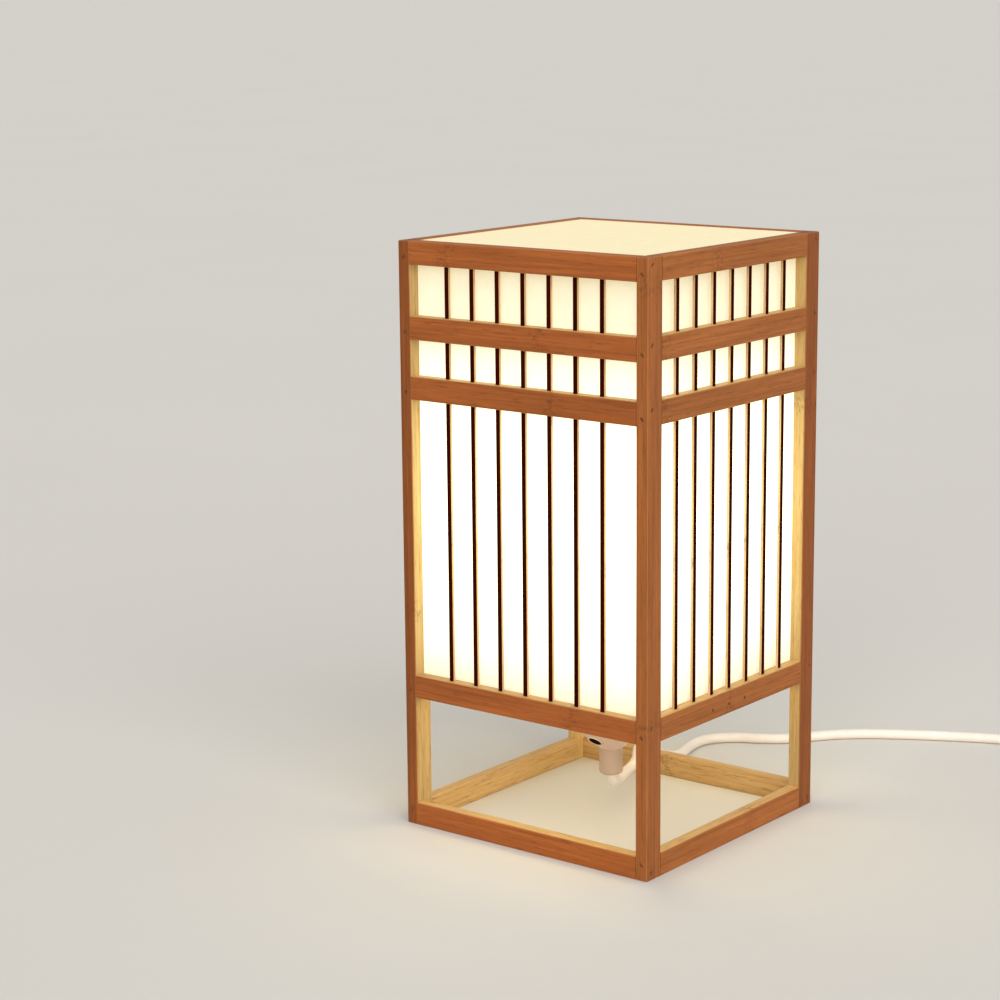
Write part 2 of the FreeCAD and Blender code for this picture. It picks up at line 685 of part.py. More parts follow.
def make_tie(middle, at):
    """Strap around all the turns of the coil, on its far side."""
    far_side = at(0.5 / COIL_TURNS) - middle
    radial = Vector(far_side.x, far_side.y, 0).normalize()
    crossing = [at((0.5 + k) / COIL_TURNS) - middle for k in range(int(COIL_TURNS))]
    reach = [Vector(p.x, p.y, 0).Length for p in crossing]
    low_r = min(reach) - CORD / 2 - TIE_CLEAR
    high_r = max(reach) + CORD / 2 + TIE_CLEAR
    high_z = COIL_TOP_Z + CORD / 2 + TIE_CLEAR
    half = TIE_WIDE / 2
    outer = block((low_r - TIE_THICK, -half, 0), (high_r + TIE_THICK, half, high_z + TIE_THICK))
    inner = block((low_r, -half, TIE_THICK), (high_r, half, high_z))
    tie = outer.cut(inner)
    tie.rotate(Vector(), UP, math.degrees(math.atan2(radial.y, radial.x)))
    tie.translate(Vector(middle.x, middle.y, 0))
    save("coil_tie", tie)


# Switch
def seated(shape, at, heading):
    """Shape made along X at the origin, moved to a place on the cord."""
    shape = shape.copy()
    shape.rotate(Vector(), UP, math.degrees(math.atan2(heading.y, heading.x)))
    shape.translate(Vector(at.x, at.y, 0))
    return shape


def switch_half(low, high, ease_z):
    """One shell of the switch's case, solid inside, with its outer rim eased."""
    x = SWITCH_LONG / 2
    y = SWITCH_WIDE / 2
    case = block((-x, -y, low), (x, y, high))
    case = case.makeFillet(SWITCH_ROUND, edges_along(case, UP))
    level = [e for e in case.Edges if e.BoundBox.ZLength < TINY]
    rim = [e for e in level if abs(e.BoundBox.ZMin - ease_z) < TINY]
    return case.makeFillet(SWITCH_EASE, rim)


def make_switch(at, heading):
    """Case of two shells around the cord, two screws, and a rocker on pins, tilted to on."""
    x = SWITCH_LONG / 2 - SWITCH_GRIP
    y = SWITCH_WIDE / 2 - SWITCH_WALL
    axis = SWITCH_AXIS_Z
    seam_low = axis - SWITCH_SEAM / 2
    seam = axis + SWITCH_SEAM / 2
    under = SWITCH_TALL - SWITCH_WALL
    room = block((-x, -y, SWITCH_WALL), (x, y, under))
    passage = rod(CORD / 2 + CORD_CLEAR, (-SWITCH_LONG, 0, axis), (1, 0, 0), 2 * SWITCH_LONG)
    pivot_z = SWITCH_TALL - ROCKER_DROP
    swing = math.hypot(ROCKER_LONG / 2, ROCKER_ABOVE)
    well_x = swing + WELL_CLEAR
    well_y = ROCKER_WIDE / 2 + WELL_CLEAR
    well_low = SWITCH_TALL - WELL_DEEP
    wall = WELL_WALL
    well = block((-well_x - wall, -well_y - wall, well_low), (well_x + wall, well_y + wall, under))
    opening = block((-well_x, -well_y, well_low), (well_x, well_y, SWITCH_TALL))
    pin_hole_half = ROCKER_WIDE / 2 + ROCKER_PIN_LONG + WELL_CLEAR
    pin_r = ROCKER_PIN_R + ROCKER_PIN_CLEAR
    pin_hole = rod(pin_r, (0, -pin_hole_half, pivot_z), (0, 1, 0), 2 * pin_hole_half)
    cover = switch_half(seam, SWITCH_TALL, SWITCH_TALL).cut([room, passage])
    base = switch_half(0, seam_low, 0).cut([room, passage])
    cover = cover.fuse(well)
    screws = []
    for sign in (-1, 1):
        place = sign * SCREW_AT
        floor = SWITCH_WALL / 2
        cover = cover.fuse(rod(SCREW_POST_R, (place, 0, seam), UP, under - seam))
        base = base.fuse(rod(SCREW_POST_R, (place, 0, floor), UP, seam_low - floor))
        head_top = SCREW_SINK + SCREW_HEAD_TALL
        shank_top = SWITCH_TALL - SCREW_SHORT
        head_hole = rod(SCREW_HEAD_R + SCREW_CLEAR, (place, 0, 0), UP, head_top)
        shank_hole = rod(SCREW_R + SCREW_CLEAR, (place, 0, 0), UP, shank_top + SCREW_CLEAR)
        base = base.cut([head_hole, shank_hole])
        cover = cover.cut(shank_hole)
        head = rod(SCREW_HEAD_R, (place, 0, SCREW_SINK), UP, SCREW_HEAD_TALL)
        shank = rod(SCREW_R, (place, 0, head_top), UP, shank_top - head_top)
        screws.append(seated(head.fuse(shank).removeSplitter(), at, heading))
    cover = cover.cut([opening, pin_hole]).removeSplitter()
    save("switch_base", seated(base.removeSplitter(), at, heading))
    save("switch_cover", seated(cover, at, heading))
    save("switch_screws", *screws)
    save("switch_rocker", seated(make_rocker(pivot_z), at, heading))


def make_rocker(pivot_z):
    """Rocker with a hollowed top and two pins, tilted to one side."""
    x = ROCKER_LONG / 2
    y = ROCKER_WIDE / 2
    middle = ROCKER_ABOVE - x * math.tan(math.radians(ROCKER_TILT))
    outline = [(-x, -ROCKER_BELOW), (x, -ROCKER_BELOW), (x, ROCKER_ABOVE), (0, middle), (-x, ROCKER_ABOVE)]
    points = [Vector(u, -y, w) for u, w in outline + outline[:1]]
    body = Part.Face(Part.makePolygon(points)).extrude(Vector(0, 2 * y, 0))
    pin_half = y + ROCKER_PIN_LONG
    rocker = body.fuse(rod(ROCKER_PIN_R, (0, -pin_half, 0), (0, 1, 0), 2 * pin_half)).removeSplitter()
    rocker.rotate(Vector(), Vector(0, 1, 0), ROCKER_TILT)
    rocker.translate(Vector(0, 0, pivot_z))
    return rocker


# Plug
def make_plug(at, heading):
    """Moulded plug with a tapered strain relief and two flat pins."""
    y = PLUG_WIDE / 2
    front = RELIEF_LONG + PLUG_LONG
    body = block((RELIEF_LONG, -y, 0), (front, y, PLUG_TALL))
    body = body.makeFillet(PLUG_ROUND, edges_along(body, UP))
    rims = [e for e in body.Edges if e.BoundBox.ZLength < TINY]
    body = body.makeFillet(PLUG_EASE, rims)
    relief_start = Vector(0, 0, PLUG_AXIS_Z)
    relief = Part.makeCone(RELIEF_R, RELIEF_FOOT_R, RELIEF_LONG + PLUG_EASE, relief_start, Vector(1, 0, 0))
    body = body.fuse(relief)
    pins = []
    for place in (-PIN_APART / 2, PIN_APART / 2):
        low = Vector(front - PIN_ROOT, place - PIN_THICK / 2, PLUG_AXIS_Z - PIN_WIDE / 2)
        high = Vector(front + PIN_LONG, place + PIN_THICK / 2, PLUG_AXIS_Z + PIN_WIDE / 2)
        room = Vector(PIN_CLEAR, PIN_CLEAR, PIN_CLEAR)
        body = body.cut(block(low - room, high + room))
        pins.append(seated(block(low, high), at, heading))
    save("plug_body", seated(body.removeSplitter(), at, heading))
    save("plug_pins", *pins)


def make_cord():
    """Lead to the switch, the switch, the run to the coil, the coil, its tail and the plug."""
    tube("cord_lead", LEAD)
    way = flat_heading(LEAD)
    between = SWITCH_LONG - 2 * SWITCH_GRIP
    lead_end = Vector(*LEAD[-1])
    make_switch(lead_end + way * (between / 2), way)
    run = stepped(lead_end + way * between, RUN_STEPS)
    tube("cord_run", run)
    coil_way = flat_heading(run)
    coil_end = make_coil(run[-1], coil_way)
    tail = stepped(coil_end, TAIL_STEPS)
    tube("cord_tail", tail)
    make_plug(tail[-1], flat_heading(tail))


def main():
    """Build every node of the lamp."""
    os.makedirs("parts", exist_ok=True)
    make_posts()
    make_rails()
    make_slats()
    make_nails()
    make_shade()
    make_board()
    make_cap()
    make_neck()
    make_sleeve()
    make_ring()
    make_socket()
    make_bulb()
    make_cord()


main()
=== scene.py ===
"""Bamboo lantern lamp: finishes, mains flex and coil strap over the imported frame, in metres."""

from __future__ import annotations

import logging
import math
from collections.abc import Mapping
from dataclasses import dataclass
from enum import Enum
from typing import Any

import bmesh
import bpy
from mathutils import Matrix, Vector

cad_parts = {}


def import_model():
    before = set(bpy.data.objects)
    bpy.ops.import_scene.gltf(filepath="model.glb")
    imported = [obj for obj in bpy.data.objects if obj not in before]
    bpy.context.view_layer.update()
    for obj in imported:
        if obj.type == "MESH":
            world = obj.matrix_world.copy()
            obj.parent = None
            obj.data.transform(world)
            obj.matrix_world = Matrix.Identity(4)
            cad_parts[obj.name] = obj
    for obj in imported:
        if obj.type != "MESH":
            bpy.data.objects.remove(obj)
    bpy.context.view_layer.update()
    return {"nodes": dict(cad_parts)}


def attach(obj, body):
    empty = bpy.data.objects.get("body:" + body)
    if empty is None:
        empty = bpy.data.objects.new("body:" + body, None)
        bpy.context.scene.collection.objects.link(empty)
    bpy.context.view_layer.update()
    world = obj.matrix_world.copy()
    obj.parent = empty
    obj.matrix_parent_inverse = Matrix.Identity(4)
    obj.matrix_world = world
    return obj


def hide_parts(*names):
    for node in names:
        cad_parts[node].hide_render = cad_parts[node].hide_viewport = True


LOG = logging.getLogger("lantern")
MM = 0.001

# Sockets of a Mix node that is set to colours
MIX_FACTOR, MIX_A, MIX_B, MIX_OUT = 0, 6, 7, 2

# Values between which most of a noise lies
NOISE_LOW, NOISE_HIGH = 0.3, 0.7

# Darkest and lightest share that faint clouds leave of a colour
CLOUD_DARK, CLOUD_LIGHT = 0.95, 1.03

# Pitch of the screw thread that shows on the shell and the bulb, in millimetres
THREAD_PITCH = 3.62


class Axis(Enum):
    """Direction that the fibres of a wooden member run in."""

    X = 0
    Y = 1
    Z = 2


class Body(Enum):
    """Bodies of the frame that new pieces ride on."""

    LAMP = "lamp"


def linear(code: str) -> tuple[float, float, float, float]:
    """Turn an sRGB hex colour into linear RGBA.

    Args:
        code: colour such as "#A8683A".

    Returns:
        Red, green, blue and alpha for a node's socket.
    """
    shares = [int(code[i:i + 2], 16) / 255 for i in (1, 3, 5)]
    red, green, blue = (s / 12.92 if s <= 0.04045 else ((s + 0.055) / 1.055) ** 2.4 for s in shares)
    return red, green, blue, 1.0


def add(
        tree: bpy.types.NodeTree, kind: str, inputs: Mapping[Any, Any] | None = None,
        **settings: Any) -> bpy.types.Node:
    """Add one shader node with its settings and links.

    Args:
        tree: node tree that gets the node.
        kind: node type without its "ShaderNode" prefix.
        inputs: for a socket's name or number, the output that feeds it or its plain value.
        settings: attributes of the node.

    Returns:
        The new node.
    """
    node = tree.nodes.new("ShaderNode" + kind)
    for name, value in settings.items():
        setattr(node, name, value)
    for socket, value in (inputs or {}).items():
        if isinstance(value, bpy.types.NodeSocket):
            tree.links.new(value, node.inputs[socket])
        else:
            node.inputs[socket].default_value = value
    return node


@dataclass(frozen=True)
class Finish:
    """A finish, made into a material the first time that it is used."""

    name: str

    def surface(self, tree: bpy.types.NodeTree) -> bpy.types.NodeSocket:
        """Build the finish's nodes and return the shader's output."""
        raise NotImplementedError

    def material(self) -> bpy.types.Material:
        """Make the material, or find it if it is there.

        Returns:
            The material that carries this finish.
        """
        made = bpy.data.materials.get(self.name)
        if made is None:
            made = bpy.data.materials.new(self.name)
            made.use_nodes = True
            made.node_tree.nodes.clear()
            add(made.node_tree, "OutputMaterial", {"Surface": self.surface(made.node_tree)})
        return made

    def dress(self, piece: bpy.types.Object) -> None:
        """Put the finish in every material slot of a piece.

        Args:
            piece: node of the frame, or a new piece.
        """
        if not piece.material_slots:
            piece.data.materials.append(None)
        for slot in piece.material_slots:
            slot.material = self.material()


@dataclass(frozen=True)
class Bamboo(Finish):
    """Steamed and pressed bamboo strip, planed and sealed, with lengths in millimetres.

    The eye gets long parallel fibres, short dark pores between them, a mottled knuckle now and then,
    a brown sealed skin outside, and paler inner sides that are unsealed wood with painted light from the
    glowing shade.
    """

    grain: Axis
    seed: float
    knuckle: float
    apart: tuple[float, float, float] = (3.7, 5.3, 7.1)
    spacing: float = 210.0
    skin: float = 75.0
    top: float = 300.0
    seal: float = 0.1
    bleed: float = 0.6
    top_bleed: float = 0.5
    tone: float = 1.0
    drift: tuple[float, float] = (0.87, 1.12)
    wander: float = 6.0
    line: tuple[float, float] = (1.6, 0.2)
    line_weight: float = 0.16
    mottled: tuple[float, float] = (9.0, 1.0)
    fleck: tuple[float, float] = (0.51, 0.63)
    fleck_weight: float = 0.46
    pores: tuple[float, float] = (0.57, 0.73)
    pore_weight: float = 0.4
    dot_size: float = 0.9
    dots: tuple[float, float] = (0.55, 0.2)
    dot_weight: float = 0.6
    end_facing: tuple[float, float] = (0.75, 0.95)
    arris_facing: tuple[float, float] = (0.985, 0.8)
    rub_and_highlight: float = 0.3
    gloss: tuple[float, float] = (0.62, 0.42)
    polish: float = 0.2
    mark_height: float = -0.8
    relief: float = 0.12
    outer: str = "#B0622B"
    outer_deep: str = "#914D20"
    inner: str = "#D6B277"
    inner_deep: str = "#BF9355"
    worn_and_highlight: str = "#C68448"
    pore: str = "#5A2F14"

    def noises(self, tree: bpy.types.NodeTree, where: bpy.types.Node) -> dict[str, bpy.types.NodeSocket]:
        """Stretch four noises along the fibres.

        Args:
            tree: node tree of the material.
            where: its texture coordinates.

        Returns:
            Each noise's output, by its name.
        """
        # Length along the fibres and width across them in mm, and the detail
        sizes = {
            "tone": (150.0, 11.0, 2.0),
            "fibre": (55.0, 1.3, 4.0),
            "pore": (9.0, 0.6, 1.0),
            "mottle": (2.6, 1.5, 2.0),
        }
        shift = [self.seed * step for step in self.apart]
        made = {}
        for label, (along, across, detail) in sizes.items():
            size = [across] * 3
            size[self.grain.value] = along
            spot = add(tree, "Mapping", {
                "Vector": where.outputs["Object"], "Location": shift,
                "Scale": [1 / (s * MM) for s in size]})
            made[label] = add(tree, "TexNoise", {
                "Vector": spot.outputs[0], "Scale": 1.0, "Detail": detail, "Roughness": 0.6}).outputs[0]
        return made

    def sealed(self, tree: bpy.types.NodeTree, where: bpy.types.Node) -> bpy.types.NodeSocket:
        """Find the sealed skin: the lamp's outer planes, and the top.

        Args:
            tree: node tree of the material.
            where: its texture coordinates.

        Returns:
            An output that is 1 on the skin and 0 on the inner sides, whose paler colour is partly painted
            light from the glowing shade.
        """
        place = add(tree, "SeparateXYZ", {0: where.outputs["Object"]})
        reach = add(tree, "SeparateXYZ", {
            0: add(tree, "VectorMath", {0: where.outputs["Object"]}, operation="ABSOLUTE").outputs[0]})
        widest = add(tree, "Math", {0: reach.outputs["X"], 1: reach.outputs["Y"]}, operation="MAXIMUM")
        side = add(tree, "MapRange", {
            "Value": widest.outputs[0], "From Min": (self.skin - self.seal - self.bleed) * MM,
            "From Max": (self.skin - self.seal) * MM})
        over = add(tree, "MapRange", {
            "Value": place.outputs["Z"], "From Min": (self.top - self.seal - self.top_bleed) * MM,
            "From Max": (self.top - self.seal) * MM})
        return add(tree, "Math", {0: side.outputs[0], 1: over.outputs[0]}, operation="MAXIMUM").outputs[0]

    def marks(
            self, tree: bpy.types.NodeTree, where: bpy.types.Node, noise: dict[str, bpy.types.NodeSocket],
            facing: bpy.types.Node) -> bpy.types.NodeSocket:
        """Gather the dark marks: knuckles, pores and end grain.

        Args:
            tree: node tree of the material.
            where: its texture coordinates.
            noise: the stretched noises.
            facing: how far the surface faces along each axis.

        Returns:
            An output that is 0 on clear wood and higher on a mark.
        """
        # Knuckles: a wavering line with mottled flecks on both sides
        place = add(tree, "SeparateXYZ", {0: where.outputs["Object"]})
        stray = add(tree, "Math", {
            0: noise["tone"], 1: self.wander * MM, 2: -(self.knuckle + self.wander / 2) * MM},
            operation="MULTIPLY_ADD")
        along = add(tree, "Math", {
            0: place.outputs[self.grain.name], 1: stray.outputs[0]}, operation="ADD")
        away = add(tree, "Math", {
            0: along.outputs[0], 1: self.spacing / 2 * MM}, operation="PINGPONG").outputs[0]
        line = add(tree, "MapRange", {
            "Value": away, "From Min": self.line[0] * MM, "From Max": self.line[1] * MM,
            "To Max": self.line_weight}, interpolation_type="SMOOTHSTEP").outputs[0]
        near = add(tree, "MapRange", {
            "Value": away, "From Min": self.mottled[0] * MM, "From Max": self.mottled[1] * MM},
            interpolation_type="SMOOTHSTEP").outputs[0]
        fleck = add(tree, "MapRange", {
            "Value": noise["mottle"], "From Min": self.fleck[0], "From Max": self.fleck[1],
            "To Max": self.fleck_weight}).outputs[0]
        fleck = add(tree, "Math", {0: fleck, 1: near}, operation="MULTIPLY").outputs[0]
        pore = add(tree, "MapRange", {
            "Value": noise["pore"], "From Min": self.pores[0], "From Max": self.pores[1],
            "To Max": self.pore_weight}).outputs[0]

        # End grain: the cut fibres show as dark dots
        cells = add(tree, "TexVoronoi", {
            "Vector": where.outputs["Object"], "Scale": 1 / (self.dot_size * MM)})
        dot = add(tree, "MapRange", {
            "Value": cells.outputs["Distance"], "From Min": self.dots[0], "From Max": self.dots[1],
            "To Max": self.dot_weight}).outputs[0]
        end = add(tree, "MapRange", {
            "Value": facing.outputs[self.grain.name], "From Min": self.end_facing[0],
            "From Max": self.end_facing[1]}).outputs[0]
        dot = add(tree, "Math", {0: dot, 1: end}, operation="MULTIPLY").outputs[0]

        darkest = line
        for mark in (fleck, pore, dot):
            darkest = add(tree, "Math", {0: darkest, 1: mark}, operation="MAXIMUM").outputs[0]
        return darkest

    def surface(self, tree: bpy.types.NodeTree) -> bpy.types.NodeSocket:
        """Lay fibres in two tones, the marks on them, and paler arrises that are part wear, part painted
        highlight.

        Args:
            tree: node tree of the material.

        Returns:
            The shader's output.
        """
        where = add(tree, "TexCoord")
        noise = self.noises(tree, where)
        facing = add(tree, "SeparateXYZ", {
            0: add(tree, "VectorMath", {0: where.outputs["Normal"]}, operation="ABSOLUTE").outputs[0]})
        marks = self.marks(tree, where, noise, facing)

        # Fibres in both tones: the sealed brown outside, and the paler inner sides, unsealed wood with
        # painted light from the glowing shade
        fibre = add(tree, "MapRange", {
            "Value": noise["fibre"], "From Min": NOISE_LOW, "From Max": NOISE_HIGH}).outputs[0]
        skin = add(tree, "Mix", {
            MIX_FACTOR: fibre, MIX_A: linear(self.outer_deep), MIX_B: linear(self.outer)}, data_type="RGBA")
        raw_and_lit = add(tree, "Mix", {
            MIX_FACTOR: fibre, MIX_A: linear(self.inner_deep), MIX_B: linear(self.inner)}, data_type="RGBA")
        wood = add(tree, "Mix", {
            MIX_FACTOR: self.sealed(tree, where),
            MIX_A: raw_and_lit.outputs[MIX_OUT], MIX_B: skin.outputs[MIX_OUT]}, data_type="RGBA")
        drift = add(tree, "MapRange", {
            "Value": noise["tone"], "From Min": NOISE_LOW, "From Max": NOISE_HIGH,
            "To Min": self.drift[0] * self.tone, "To Max": self.drift[1] * self.tone})
        wood = add(tree, "HueSaturation", {"Color": wood.outputs[MIX_OUT], "Value": drift.outputs[0]})
        wood = add(tree, "Mix", {
            MIX_FACTOR: marks, MIX_A: wood.outputs[0], MIX_B: linear(self.pore)}, data_type="RGBA")

        # Arrises paler, where the face is on no axis: part wear, part painted highlight on the rounded
        # edges
        square = add(tree, "Math", {0: facing.outputs["X"], 1: facing.outputs["Y"]}, operation="MAXIMUM")
        square = add(tree, "Math", {0: square.outputs[0], 1: facing.outputs["Z"]}, operation="MAXIMUM")
        rubbed_and_highlight = add(tree, "MapRange", {
            "Value": square.outputs[0], "From Min": self.arris_facing[0], "From Max": self.arris_facing[1],
            "To Max": self.rub_and_highlight}).outputs[0]
        wood = add(tree, "Mix", {
            MIX_FACTOR: rubbed_and_highlight, MIX_A: wood.outputs[MIX_OUT], MIX_B: linear(self.worn_and_highlight)}, data_type="RGBA")

        gloss = add(tree, "MapRange", {
            "Value": noise["fibre"], "To Min": self.gloss[0], "To Max": self.gloss[1]})
        height = add(tree, "Math", {
            0: marks, 1: self.mark_height, 2: noise["fibre"]}, operation="MULTIPLY_ADD")
        relief = add(tree, "Bump", {
            "Height": height.outputs[0], "Strength": 0.35, "Distance": self.relief * MM})
        return add(tree, "BsdfPrincipled", {
            "Base Color": wood.outputs[MIX_OUT], "Roughness": gloss.outputs[0],
            "Specular IOR Level": self.polish, "Normal": relief.outputs[0]}).outputs[0]


@dataclass(frozen=True)
class LitFilm(Finish):
    """Parchment film in front of a lit bulb, with lengths in millimetres.

    The eye gets a white glow, dimmer and creamier towards the top and the lower edge, with faint
    cloudy fibres.
    """

    paper: str = "#C9C2AE"
    low: float = 76.9
    high: float = 299.6
    glow: tuple[tuple[float, str], ...] = (
        (76.9, "#857B6A"), (112.0, "#C2C6A8"), (165.0, "#EEEFCF"), (215.0, "#C2C6A8"), (250.0, "#91907C"),
        (290.0, "#7B745C"), (299.4, "#766B45"))
    strength: float = 2.4
    cloud: float = 7.0
    relief: float = 0.1

    def surface(self, tree: bpy.types.NodeTree) -> bpy.types.NodeSocket:
        """Let the glow change with height, and cloud both paper and glow.

        Args:
            tree: node tree of the material.

        Returns:
            The shader's output.
        """
        where = add(tree, "TexCoord")
        place = add(tree, "SeparateXYZ", {0: where.outputs["Object"]})
        height = add(tree, "MapRange", {
            "Value": place.outputs["Z"], "From Min": self.low * MM, "From Max": self.high * MM})
        ramp = add(tree, "ValToRGB", {0: height.outputs[0]})
        stops = ramp.color_ramp.elements
        for index, (level, code) in enumerate(self.glow):
            share = (level - self.low) / (self.high - self.low)
            stop = stops[0] if index == 0 else stops.new(share)
            stop.position = share
            stop.color = linear(code)
        # A new ramp has a second stop of its own, which is last by now
        stops.remove(stops[-1])
        cloud = add(tree, "TexNoise", {
            "Vector": where.outputs["Object"], "Scale": 1 / (self.cloud * MM), "Detail": 5.0,
            "Roughness": 0.7})
        shade = add(tree, "MapRange", {
            "Value": cloud.outputs[0], "From Min": NOISE_LOW, "From Max": NOISE_HIGH,
            "To Min": CLOUD_DARK, "To Max": CLOUD_LIGHT})
        paper = add(tree, "HueSaturation", {"Color": linear(self.paper), "Value": shade.outputs[0]})
        glow = add(tree, "HueSaturation", {"Color": ramp.outputs[0], "Value": shade.outputs[0]})
        relief = add(tree, "Bump", {
            "Height": cloud.outputs[0], "Strength": 0.15, "Distance": self.relief * MM})
        return add(tree, "BsdfPrincipled", {
            "Base Color": paper.outputs[0], "Roughness": 0.6, "IOR": 1.45, "Normal": relief.outputs[0],
            "Emission Color": glow.outputs[0], "Emission Strength": self.strength}).outputs[0]


@dataclass(frozen=True)
class Moulded(Finish):
    """Injection-moulded plastic, with lengths in millimetres.

    The eye gets one even colour with a soft gloss, faint flow clouds and the fine grain of the mould.
    """

    colour: str
    roughness: float = 0.4
    grain: float = 0.7
    glow: float = 0.0
    glow_colour: str = "#FFE2B0"
    cloud: float = 9.0
    gloss_spread: float = 0.1
    relief: float = 0.05

    def paint(self, tree: bpy.types.NodeTree, where: bpy.types.Node) -> bpy.types.NodeSocket:
        """Mix the colour with its flow clouds.

        Args:
            tree: node tree of the material.
            where: its texture coordinates.

        Returns:
            The colour's output.
        """
        cloud = add(tree, "TexNoise", {
            "Vector": where.outputs["Object"], "Scale": 1 / (self.cloud * MM), "Detail": 3.0})
        tone = add(tree, "MapRange", {
            "Value": cloud.outputs[0], "From Min": NOISE_LOW, "From Max": NOISE_HIGH,
            "To Min": CLOUD_DARK, "To Max": CLOUD_LIGHT})
        tinted = add(tree, "HueSaturation", {"Color": linear(self.colour), "Value": tone.outputs[0]})
        return tinted.outputs[0]

    def surface(self, tree: bpy.types.NodeTree) -> bpy.types.NodeSocket:
        """Put flow clouds in the colour, and mould grain in gloss and relief.

        Args:
            tree: node tree of the material.

        Returns:
            The shader's output.
        """
        where = add(tree, "TexCoord")
        grain = add(tree, "TexNoise", {
            "Vector": where.outputs["Object"], "Scale": 1 / (self.grain * MM), "Detail": 2.0})
        gloss = add(tree, "MapRange", {
            "Value": grain.outputs[0], "To Min": self.roughness - self.gloss_spread,
            "To Max": self.roughness + self.gloss_spread})
        relief = add(tree, "Bump", {
            "Height": grain.outputs[0], "Strength": 0.12, "Distance": self.relief * MM})
        return add(tree, "BsdfPrincipled", {
            "Base Color": self.paint(tree, where), "Roughness": gloss.outputs[0], "IOR": 1.5,
            "Normal": relief.outputs[0], "Emission Color": linear(self.glow_colour),
            "Emission Strength": self.glow}).outputs[0]


@dataclass(frozen=True)
class ShadedVentMoulded(Moulded):
    """Pale moulded plastic, with painted shade in the vent and on the walls within.

    The eye gets a soft gloss outside, and a near-black painted shade in the vent's bore and on the walls
    that face the lamp's axis.
    """

    painted_shade: str = "#1E1612"
    vent_at: tuple[float, float, float] = (0.0, -13.6, 42.26)
    vent_along: tuple[float, float, float] = (0.0, -0.664, -0.748)
    vent_r: float = 3.4

    def paint(self, tree: bpy.types.NodeTree, where: bpy.types.Node) -> bpy.types.NodeSocket:
        """Lay the pale colour on everything but the vent's bore and the walls that face the lamp's axis,
        which get painted shade.

        Args:
            tree: node tree of the material.
            where: its texture coordinates.

        Returns:
            The colour's output.
        """
        spot, normal = where.outputs["Object"], where.outputs["Normal"]
        flat = add(tree, "VectorMath", {0: spot, 1: (1, 1, 0)}, operation="MULTIPLY")
        away = add(tree, "VectorMath", {0: flat.outputs[0], 1: normal}, operation="DOT_PRODUCT")
        within = add(tree, "Math", {0: away.outputs["Value"], 1: 0.0}, operation="LESS_THAN")
        centre = tuple(c * MM for c in self.vent_at)
        offset = add(tree, "VectorMath", {0: spot, 1: centre}, operation="SUBTRACT")
        cross = add(tree, "VectorMath", {
            0: offset.outputs[0], 1: self.vent_along}, operation="CROSS_PRODUCT")
        reach = add(tree, "VectorMath", {0: cross.outputs[0]}, operation="LENGTH")
        bore = add(tree, "Math", {0: reach.outputs["Value"], 1: self.vent_r * MM}, operation="LESS_THAN")
        # Painted shade: the vent's bore and the walls that face the axis go near-black
        dark = add(tree, "Math", {0: within.outputs[0], 1: bore.outputs[0]}, operation="MAXIMUM")
        return add(tree, "Mix", {
            MIX_FACTOR: dark.outputs[0], MIX_A: super().paint(tree, where), MIX_B: linear(self.painted_shade)},
            data_type="RGBA").outputs[MIX_OUT]


@dataclass(frozen=True)
class Metal(Finish):
    """Bare or plated metal, drawn or rolled, with lengths in millimetres.

    The eye gets a coloured mirror broken by fine scratches, a little tarnish, and a rolled thread
    if it has one.
    """

    colour: str
    tarnish: str
    roughness: float = 0.32
    thread: float = 0.0
    thread_deep: float = 0.4
    tarnish_size: float = 3.0
    tarnished: tuple[float, float] = (0.45, 0.75)
    scratch_size: float = 0.4
    smoother: float = 0.12
    rougher: float = 0.16
    relief: float = 0.04

    def surface(self, tree: bpy.types.NodeTree) -> bpy.types.NodeSocket:
        """Cloud the colour with tarnish, scratch the gloss, and raise the thread.

        Args:
            tree: node tree of the material.

        Returns:
            The shader's output.
        """
        where = add(tree, "TexCoord")
        cloud = add(tree, "TexNoise", {
            "Vector": where.outputs["Object"], "Scale": 1 / (self.tarnish_size * MM), "Detail": 4.0})
        scratch = add(tree, "TexNoise", {
            "Vector": where.outputs["Object"], "Scale": 1 / (self.scratch_size * MM), "Detail": 2.0})
        dull = add(tree, "MapRange", {
            "Value": cloud.outputs[0], "From Min": self.tarnished[0], "From Max": self.tarnished[1]})
        paint = add(tree, "Mix", {
            MIX_FACTOR: dull.outputs[0], MIX_A: linear(self.colour), MIX_B: linear(self.tarnish)},
            data_type="RGBA")
        gloss = add(tree, "MapRange", {
            "Value": scratch.outputs[0], "To Min": self.roughness - self.smoother,
            "To Max": self.roughness + self.rougher})
        relief = add(tree, "Bump", {
            "Height": scratch.outputs[0], "Strength": 0.1, "Distance": self.relief * MM})
        if self.thread:
            place = add(tree, "SeparateXYZ", {0: where.outputs["Object"]})
            angle = add(tree, "Math", {0: place.outputs["Y"], 1: place.outputs["X"]}, operation="ARCTAN2")
            climb = add(tree, "Math", {
                0: place.outputs["Z"], 1: 2 * math.pi / (self.thread * MM)}, operation="MULTIPLY")
            phase = add(tree, "Math", {0: climb.outputs[0], 1: angle.outputs[0]}, operation="SUBTRACT")
            wave = add(tree, "Math", {0: phase.outputs[0]}, operation="SINE")
            relief = add(tree, "Bump", {
                "Height": wave.outputs[0], "Distance": self.thread_deep * MM, "Normal": relief.outputs[0]})
        return add(tree, "BsdfPrincipled", {
            "Base Color": paint.outputs[MIX_OUT], "Metallic": 1.0, "Roughness": gloss.outputs[0],
            "Normal": relief.outputs[0]}).outputs[0]


